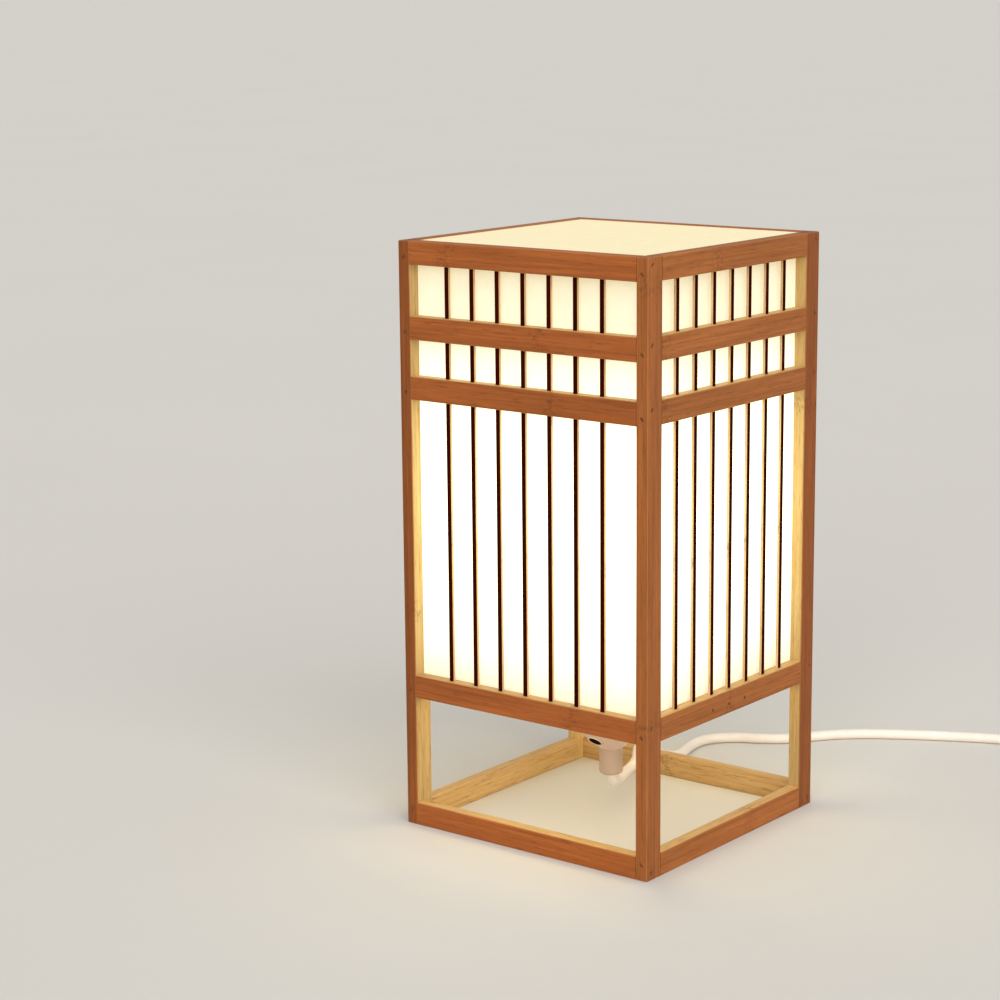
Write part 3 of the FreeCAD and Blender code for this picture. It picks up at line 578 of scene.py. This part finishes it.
@dataclass(frozen=True)
class HookTape(Finish):
    """Woven nylon tape with a hook face, with lengths in millimetres.

    The eye gets a matt dark band with rows of tiny hooks.
    """

    colour: str = "#34363A"
    light: str = "#5A5D62"
    hook: float = 1.1
    hook_tall: float = 0.25

    def surface(self, tree: bpy.types.NodeTree) -> bpy.types.NodeSocket:
        """Set rows of hooks, drawn a little coarse so that they show.

        Args:
            tree: node tree of the material.

        Returns:
            The shader's output.
        """
        where = add(tree, "TexCoord")
        hooks = add(tree, "TexVoronoi", {
            "Vector": where.outputs["Object"], "Scale": 1 / (self.hook * MM), "Randomness": 0.35})
        weave = add(tree, "Mix", {
            MIX_FACTOR: hooks.outputs["Distance"], MIX_A: linear(self.light), MIX_B: linear(self.colour)},
            data_type="RGBA")
        relief = add(tree, "Bump", {
            "Height": hooks.outputs["Distance"], "Strength": 0.7, "Distance": self.hook_tall * MM},
            invert=True)
        return add(tree, "BsdfPrincipled", {
            "Base Color": weave.outputs[MIX_OUT], "Roughness": 0.85, "Sheen Weight": 0.3,
            "Normal": relief.outputs[0]}).outputs[0]


@dataclass(frozen=True)
class StudioFloor(Finish):
    """Painted studio floor: pale, matt, with hardly any cloud in it."""

    colour: str = "#DAD6CF"
    cloud: float = 400.0
    tones: tuple[float, float] = (0.98, 1.02)

    def surface(self, tree: bpy.types.NodeTree) -> bpy.types.NodeSocket:
        """Put faint clouds in a flat pale paint.

        Args:
            tree: node tree of the material.

        Returns:
            The shader's output.
        """
        where = add(tree, "TexCoord")
        cloud = add(tree, "TexNoise", {
            "Vector": where.outputs["Object"], "Scale": 1 / (self.cloud * MM), "Detail": 2.0})
        tone = add(tree, "MapRange", {
            "Value": cloud.outputs[0], "To Min": self.tones[0], "To Max": self.tones[1]})
        paint = add(tree, "HueSaturation", {"Color": linear(self.colour), "Value": tone.outputs[0]})
        return add(tree, "BsdfPrincipled", {
            "Base Color": paint.outputs[0], "Roughness": 0.8, "Specular IOR Level": 0.2}).outputs[0]


# Holder: white plastic shells, their darker tan colour painted shade and warm bounced light, with a soft
# gloss; the cap paler, with painted shade in its vent
HOLDER_SHADED_WHITE = Moulded("Moulded white polyester in painted shade", "#C2A892", roughness=0.38)
CAP_WHITE = ShadedVentMoulded("White cap with painted vent shade", "#E2C6B0", roughness=0.38)
GLAZED = Moulded("Glazed steatite", "#ECE8DF", roughness=0.2, grain=1.6)

# Switch and flex: clean white, the rocker shinier than its case, the flex a little creamy
SWITCH_WHITE = Moulded("Moulded white ABS", "#EFEDE8", roughness=0.36)
ROCKER_WHITE = Moulded("Polished white ABS", "#F4F3F0", roughness=0.24)
FLEX_WHITE = Moulded("Extruded white vinyl", "#F6EADC", roughness=0.34, grain=1.2)

# Bulb: a white case, a black ring at its foot, and a milky globe and board that glow
BULB_WHITE = Moulded("Moulded white polycarbonate", "#F0EEE9", roughness=0.34)
BULB_BLACK = Moulded("Black glass insulator", "#1B1A1C", roughness=0.2)
BULB_OPAL = Moulded("Lit opal polycarbonate", "#F5EFE2", roughness=0.45, grain=0.9, glow=10.0)
LIGHT_BOARD = Moulded("White solder-masked board", "#F2F2EE", roughness=0.3, grain=0.5, glow=1.5)

# Metals: yellow brass, grey aluminium, tin, zinc and nickel, and brown brads that hide in the wood
BRASS = Metal("Drawn brass", "#D9B25F", "#A9803A", roughness=0.3, thread=THREAD_PITCH)
BRASS_SCREW = Metal("Turned brass", "#D6AE5A", "#A37A36", roughness=0.34)
CAP_METAL = Metal("Rolled aluminium", "#D8D9DA", "#B4B5B6", roughness=0.3, thread=THREAD_PITCH)
CONTACT_TIN = Metal("Tinned contact", "#CFCDC8", "#A5A29B", roughness=0.36)
NAIL_STEEL = Metal("Browned steel brad", "#8E5A38", "#6A3E22", roughness=0.5)
SCREW_STEEL = Metal("Zinc-plated steel", "#C9CBCD", "#9EA1A5", roughness=0.34)
PIN_NICKEL = Metal("Nickel-plated brass", "#DAD6CC", "#B9B3A4", roughness=0.24)


@dataclass
class Studio:
    """Camera at the photographed angle, soft light and a pale floor.

    Lengths are in metres, angles in degrees, and the sensor in millimetres.
    """

    focal_px: float = 2504.6
    image_px: float = 1000.0
    sensor: float = 36.0
    position: tuple[float, float, float] = (0.7280, -1.0120, 0.4203)
    yaw: float = 128.318
    pitch: float = 11.519
    roll: float = 0.544
    floor_half: float = 250.0
    sky: str = "#FFFFFF"
    sky_strength: float = 0.62
    key_strength: float = 2.2
    key_from: tuple[float, float, float] = (0.67, -0.6, 0.44)
    key_angle: float = 75.0

    def shoot(self) -> None:
        """Make the camera and hand it to the scene."""
        yaw, pitch, roll = (math.radians(a) for a in (self.yaw, self.pitch, self.roll))
        ahead = Vector((math.cos(yaw) * math.cos(pitch), math.sin(yaw) * math.cos(pitch), -math.sin(pitch)))
        right = ahead.cross(Vector((0, 0, 1))).normalized()
        down = ahead.cross(right)
        across = math.cos(roll) * right + math.sin(roll) * down
        up = math.sin(roll) * right - math.cos(roll) * down
        data = bpy.data.cameras.new("Camera")
        data.sensor_fit = "HORIZONTAL"
        data.sensor_width = self.sensor
        data.lens = self.sensor * self.focal_px / self.image_px
        data.clip_end = 2 * self.floor_half
        camera = bpy.data.objects.new("Camera", data)
        turn = Matrix((across, up, -ahead)).transposed().to_4x4()
        camera.matrix_world = Matrix.Translation(self.position) @ turn
        bpy.context.scene.collection.objects.link(camera)
        bpy.context.scene.camera = camera

    def light(self) -> None:
        """Make an even sky and one wide key lamp."""
        scene = bpy.context.scene
        scene.view_settings.view_transform = "Standard"
        world = bpy.data.worlds.new("Studio")
        world.use_nodes = True
        world.node_tree.nodes.clear()
        sky = add(world.node_tree, "Background", {"Color": linear(self.sky), "Strength": self.sky_strength})
        add(world.node_tree, "OutputWorld", {"Surface": sky.outputs[0]})
        scene.world = world
        data = bpy.data.lights.new("Key", "SUN")
        data.energy = self.key_strength
        data.angle = math.radians(self.key_angle)
        key = bpy.data.objects.new("Key", data)
        key.rotation_euler = Vector(self.key_from).to_track_quat("Z", "Y").to_euler()
        scene.collection.objects.link(key)

    def lay_floor(self) -> None:
        """Make the floor as one wide face under the lamp."""
        mesh = bpy.data.meshes.new("floor")
        shape = bmesh.new()
        bmesh.ops.create_grid(shape, x_segments=1, y_segments=1, size=self.floor_half)
        shape.to_mesh(mesh)
        shape.free()
        floor = bpy.data.objects.new("floor", mesh)
        bpy.context.scene.collection.objects.link(floor)
        StudioFloor("Painted studio floor").dress(floor)


@dataclass
class Flex:
    """White mains flex from the holder's grip to the plug, in millimetres."""

    diameter: float = 5.5
    length: float = 1838.4
    exit: tuple[float, float, float] = (0.0, 0.0, 21.5)
    lead: tuple[tuple[float, float, float], ...] = (
        (0.0, 0.0, 27.5), (0.0, 0.0, 20.1), (-1.6, 4.9, 14.6), (-5.8, 17.0, 14.3), (-13.3, 42.5, 14.2),
        (-25.4, 59.7, 15.2), (-30.0, 76.0, 17.2), (-30.7, 83.8, 4.8), (-20.9, 94.1, 2.75),
        (-27.3, 112.4, 2.75), (-28.3, 129.8, 2.75), (-16.2, 143.2, 2.75), (-3.0, 149.2, 2.75),
        (9.6, 158.0, 2.75), (26.0, 181.6, 2.75), (46.4, 197.8, 2.75), (76.0, 214.6, 2.75),
        (104.7, 228.7, 2.75), (118.4, 231.4, 2.75), (132.4, 229.9, 5.375), (145.2, 224.4, 8.0),
        (155.2, 216.1, 8.0))
    switch_through: float = 48.0
    run: tuple[tuple[float, float, float], ...] = (
        (16.0, -40.0, 8.0), (18.0, -46.0, 3.45), (16.0, -40.0, 3.45))
    tail: tuple[tuple[float, float, float], ...] = (
        (12.0, -40.0, 9.45), (14.0, -54.0, 8.0), (12.0, -68.0, 8.0))
    coil_heading: float = -40.0
    coil_turns: int = 7
    coil_mean_r: float = 30.0
    coil_step: float = 6.2
    coil_low: float = 3.45
    coil_rise: float = 6.0
    coil_ease: float = 0.25
    points_per_turn: int = 24
    steps_per_point: int = 6
    section_steps: int = 5
    spline_order: int = 3

    @property
    def coil_outer_r(self) -> float:
        """Radius of the coil's first turn."""
        return self.coil_mean_r + self.coil_step * self.coil_turns / 4

    def steps(self, start: Vector, moves: tuple[tuple[float, float, float], ...]) -> list[Vector]:
        """Walk a route over the floor.

        Args:
            start: first point, not in the result.
            moves: length, heading in degrees and height at the end of each run.

        Returns:
            The points at the ends of the runs.
        """
        points = [start]
        for length, heading, height in moves:
            turn = math.radians(heading)
            ahead = Vector((math.cos(turn), math.sin(turn), 0)) * length
            points.append(Vector((points[-1].x + ahead.x, points[-1].y + ahead.y, height)))
        return points[1:]

    def coil(self, start: Vector) -> tuple[Vector, list[Vector]]:
        """Wind the put-away length: a spiral in, a climb, and a spiral out.

        Args:
            start: end of the run that leads to the coil.

        Returns:
            The coil's middle and its points.
        """
        turn = math.radians(self.coil_heading)
        ahead = Vector((math.cos(turn), math.sin(turn), 0))
        left = Vector((-ahead.y, ahead.x, 0))
        begin = start + ahead * self.diameter
        middle = begin + left * self.coil_outer_r
        first = math.atan2(-left.y, -left.x)
        half = self.coil_turns / 2
        ease = self.coil_ease
        points = []
        count = self.coil_turns * self.points_per_turn
        for index in range(count + 1):
            done = index / self.points_per_turn
            away = abs(done - half)
            climb = min(max((done - half + ease) / (2 * ease), 0.0), 1.0)
            if away < ease:
                away = (away * away + ease * ease) / (2 * ease)
            radius = self.coil_outer_r - self.coil_step * (half - away)
            angle = first + 2 * math.pi * done
            height = self.coil_low + self.coil_rise * climb * climb * (3 - 2 * climb)
            points.append(Vector((
                middle.x + radius * math.cos(angle), middle.y + radius * math.sin(angle), height)))
        return middle, points

    def past_switch(self) -> Vector:
        """Find where the flex leaves the switch, straight ahead of where it goes in.

        Returns:
            The point at the far end of the switch.
        """
        before, last = (Vector(p) for p in self.lead[-2:])
        return last + (last - before).normalized() * self.switch_through

    def route(self) -> list[Vector]:
        """Join the lead, the switch, the run, the coil and the tail.

        Returns:
            Every control point of the flex, from the grip to the plug.
        """
        lead = [Vector(p) for p in self.lead]
        beyond = self.past_switch()
        run = self.steps(beyond, self.run)
        _, turns = self.coil(run[-1])
        turn = math.radians(self.coil_heading)
        leave = turns[-1] + Vector((math.cos(turn), math.sin(turn), 0)) * self.diameter
        return lead + [beyond] + run + turns + [leave] + self.steps(leave, self.tail)

    def build(self) -> bpy.types.Object:
        """Make the flex as one smooth spline with a round section.

        Returns:
            The flex's object.
        """
        data = bpy.data.curves.new("mains_flex", "CURVE")
        data.dimensions = "3D"
        data.resolution_u = self.steps_per_point
        data.bevel_depth = self.diameter / 2 * MM
        data.bevel_resolution = self.section_steps
        data.use_fill_caps = True
        points = self.route()
        spline = data.splines.new("NURBS")
        spline.points.add(len(points) - 1)
        for point, place in zip(spline.points, points):
            point.co = (*(place * MM), 1.0)
        spline.order_u = self.spline_order
        spline.use_endpoint_u = True
        flex = bpy.data.objects.new("mains_flex", data)
        bpy.context.scene.collection.objects.link(flex)
        FLEX_WHITE.dress(flex)
        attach(flex, Body.LAMP.value)
        for node in ("cord_lead", "cord_run", "cord_coil", "cord_tail"):
            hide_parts(node)
        return flex


@dataclass
class CoilStrap:
    """Hook tape around the coil's turns, with the tape's end folded over the top, in millimetres."""

    flex: Flex
    wide: float = 8.0
    thick: float = 0.5
    clear: float = 0.5
    corner: float = 3.0
    corner_steps: int = 6
    overlap: float = 12.0
    overlap_inset: float = 0.6
    overlap_lift: float = 1.15

    def build(self) -> bpy.types.Object:
        """Make the band and its overlapping end.

        Returns:
            The strap's object.
        """
        run = self.flex.steps(self.flex.past_switch(), self.flex.run)
        middle, turns = self.flex.coil(run[-1])
        each = self.flex.points_per_turn
        crossing = [turns[each // 2 + each * k] - middle for k in range(self.flex.coil_turns)]
        reach = [math.hypot(p.x, p.y) for p in crossing]
        spare = self.flex.diameter / 2 + self.clear
        low, high = min(reach) - spare, max(reach) + spare
        top = self.flex.coil_low + self.flex.coil_rise + spare
        shape = bmesh.new()
        bends = [
            shape.verts.new((x * MM, -self.wide / 2 * MM, z * MM))
            for x, z in ((low, self.thick), (high, self.thick), (high, top), (low, top))]
        loop = [shape.edges.new((bends[i - 1], bends[i])) for i in range(len(bends))]
        made = bmesh.ops.extrude_edge_only(shape, edges=loop)
        moved = [v for v in made["geom"] if isinstance(v, bmesh.types.BMVert)]
        bmesh.ops.translate(shape, verts=moved, vec=(0, self.wide * MM, 0))
        lengthwise = [e for e in shape.edges if abs(e.verts[0].co.y - e.verts[1].co.y) > MM]
        bmesh.ops.bevel(
            shape, geom=lengthwise, offset=self.corner * MM, offset_type="OFFSET",
            segments=self.corner_steps, profile=0.5, affect="EDGES", material=-1)
        bmesh.ops.recalc_face_normals(shape, faces=shape.faces)
        bmesh.ops.solidify(shape, geom=shape.faces[:], thickness=-self.thick * MM)
        tab = bmesh.ops.create_grid(shape, x_segments=6, y_segments=4, size=0.5)["verts"]
        bmesh.ops.scale(shape, verts=tab, vec=(
            self.overlap * MM, (self.wide - self.overlap_inset) * MM, 1))
        lift = Matrix.Translation(
            Vector(((low + high) / 2, 0, top + self.overlap_lift * self.thick)) * MM)
        bmesh.ops.transform(shape, verts=tab, matrix=lift)
        faces = list(dict.fromkeys(f for v in tab for f in v.link_faces))
        bmesh.ops.solidify(shape, geom=faces, thickness=-self.thick * MM)
        bmesh.ops.recalc_face_normals(shape, faces=shape.faces)
        radial = math.atan2(crossing[0].y, crossing[0].x)
        seat = Matrix.Translation(Vector((middle.x, middle.y, 0)) * MM) @ Matrix.Rotation(radial, 4, "Z")
        bmesh.ops.transform(shape, verts=shape.verts, matrix=seat)
        mesh = bpy.data.meshes.new("coil_strap")
        shape.to_mesh(mesh)
        shape.free()
        strap = bpy.data.objects.new("coil_strap", mesh)
        bpy.context.scene.collection.objects.link(strap)
        HookTape("Woven hook tape").dress(strap)
        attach(strap, Body.LAMP.value)
        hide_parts("coil_tie")
        return strap


@dataclass
class WoodFrame:
    """Four posts and five rings of rails, each with its own grain, in millimetres."""

    nodes: dict[str, bpy.types.Object]
    knuckle_first: float = 150.0
    knuckle_step: float = 37.0
    knuckle_places: int = 8
    tone_first: float = 0.98
    tone_step: float = 0.02
    tone_count: int = 3

    def dress(self) -> None:
        """Give every post and rail a bamboo of its own, with its knuckle where it has one."""
        # Place of the knuckle along each rail where one shows
        seen = {
            "top_rail_front": -45.0, "neck_rail_front": 10.8, "waist_rail_front": 17.8,
            "skirt_rail_front": 29.5, "top_rail_right": -17.4, "skirt_rail_right": -3.0,
            "foot_rail_right": 17.2, "foot_rail_rear": -12.0}
        # Tone of three posts: the two at the sides darker, as painted shade where less light reaches them,
        # and the near one at full tone
        tones = {"post_front_left": 0.78, "post_rear_right": 0.78, "post_front_right": 1.0}
        shaded_posts = ("post_front_left", "post_rear_right")
        names = sorted(n for n in self.nodes if "_rail_" in n or n.startswith("post_"))
        for seed, name in enumerate(names, start=1):
            knuckle = seen.get(name, self.knuckle_first - self.knuckle_step * (seed % self.knuckle_places))
            tone = tones.get(name, self.tone_first + self.tone_step * (seed % self.tone_count))
            label = f"Pressed bamboo {name}"
            if name.startswith("post_"):
                # The side posts also get deeper browns outside, as painted shade
                outer, outer_deep = ("#A95E27", "#8B4A1D") if name in shaded_posts else ("#AB6530", "#8D5024")
                # Posts get paler inner sides than the rails, as painted light from the glowing film beside
                # them
                finish = Bamboo(
                    label, Axis.Z, float(seed), knuckle, tone=tone, outer=outer, outer_deep=outer_deep,
                    inner="#E0BE7F", inner_deep="#CBA25F")
            elif name.endswith(("left", "right")):
                finish = Bamboo(
                    label, Axis.Y, float(seed), knuckle, tone=tone, outer="#AE6831", outer_deep="#8F5224")
            else:
                finish = Bamboo(label, Axis.X, float(seed), knuckle, tone=tone)
            finish.dress(self.nodes[name])
            LOG.info("dressed %s", name)


@dataclass
class Grille:
    """Thin slats in front of the shade, in millimetres."""

    nodes: dict[str, bpy.types.Object]
    first_seed: float = 40.0
    knuckle: float = 150.0
    skin: float = 72.2
    bleed: float = 0.1

    def dress(self) -> None:
        """Give the slats a bamboo without gloss: dark in front as painted shade of the backlit slats, and
        pale at the sides, the split wood's pale inner with painted light from the glowing film.
        """
        for seed, side in enumerate(("front", "right", "rear", "left")):
            # Dark front colours are painted shade of the backlit slats; pale side colours are part the
            # wood's inner, part painted light from the film
            finish = Bamboo(
                f"Split bamboo slats {side}", Axis.Z, self.first_seed + seed, self.knuckle,
                skin=self.skin, bleed=self.bleed, rub_and_highlight=0.0, polish=0.0, outer="#3E0D02",
                outer_deep="#2E0700", inner="#DCBA8C", inner_deep="#CBA576", pore="#2C1407")
            finish.dress(self.nodes[f"slats_{side}"])
            LOG.info("dressed slats_%s", side)


@dataclass
class Shade:
    """Film panels on four sides and the top."""

    nodes: dict[str, bpy.types.Object]

    def dress(self) -> None:
        """Give the panels their lit film."""
        finish = LitFilm("Lit parchment film")
        for name in ("shade_front", "shade_right", "shade_rear", "shade_left", "shade_top"):
            finish.dress(self.nodes[name])
            LOG.info("dressed %s", name)


@dataclass
class Fittings:
    """Holder, bulb, nails, cross board, switch and plug."""

    nodes: dict[str, bpy.types.Object]

    def dress(self) -> None:
        """Give each fitting the finish of what it is made of."""
        # The skin lies past the board's ends, so the board is raw all over
        board = Bamboo(
            "Pressed bamboo cross board", Axis.X, seed=60.0, knuckle=41.0, skin=400.0,
            inner="#CFA063", inner_deep="#B98443")
        finishes: dict[str, Finish] = {
            "cross_board": board, "nails": NAIL_STEEL,
            "holder_cap": CAP_WHITE, "cord_grip": HOLDER_SHADED_WHITE, "holder_sleeve": HOLDER_SHADED_WHITE,
            "holder_ring": HOLDER_SHADED_WHITE, "socket_core": GLAZED, "terminal_screws": BRASS_SCREW,
            "screw_shell": BRASS, "centre_contact": BRASS_SCREW,
            "bulb_tip": CONTACT_TIN, "bulb_insulator": BULB_BLACK, "bulb_screw_cap": CAP_METAL,
            "bulb_housing": BULB_WHITE, "bulb_light_board": LIGHT_BOARD, "bulb_globe": BULB_OPAL,
            "switch_base": SWITCH_WHITE, "switch_cover": SWITCH_WHITE, "switch_rocker": ROCKER_WHITE,
            "switch_screws": SCREW_STEEL, "plug_body": FLEX_WHITE, "plug_pins": PIN_NICKEL}
        for name, finish in finishes.items():
            finish.dress(self.nodes[name])
            LOG.info("dressed %s", name)


def main() -> None:
    """Load the frame, shoot it, and build and dress each sub-assembly."""
    logging.basicConfig(level=logging.INFO, format="%(name)s: %(message)s")
    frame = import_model()
    nodes = frame["nodes"]
    studio = Studio()
    studio.shoot()
    flex = Flex()
    cord = flex.build()
    strap = CoilStrap(flex).build()
    fittings = Fittings(nodes)
    LOG.info("built %s and %s", cord.name, strap.name)
    WoodFrame(nodes).dress()
    Grille(nodes).dress()
    Shade(nodes).dress()
    fittings.dress()
    studio.light()
    studio.lay_floor()


if __name__ == "__main__":
    main()
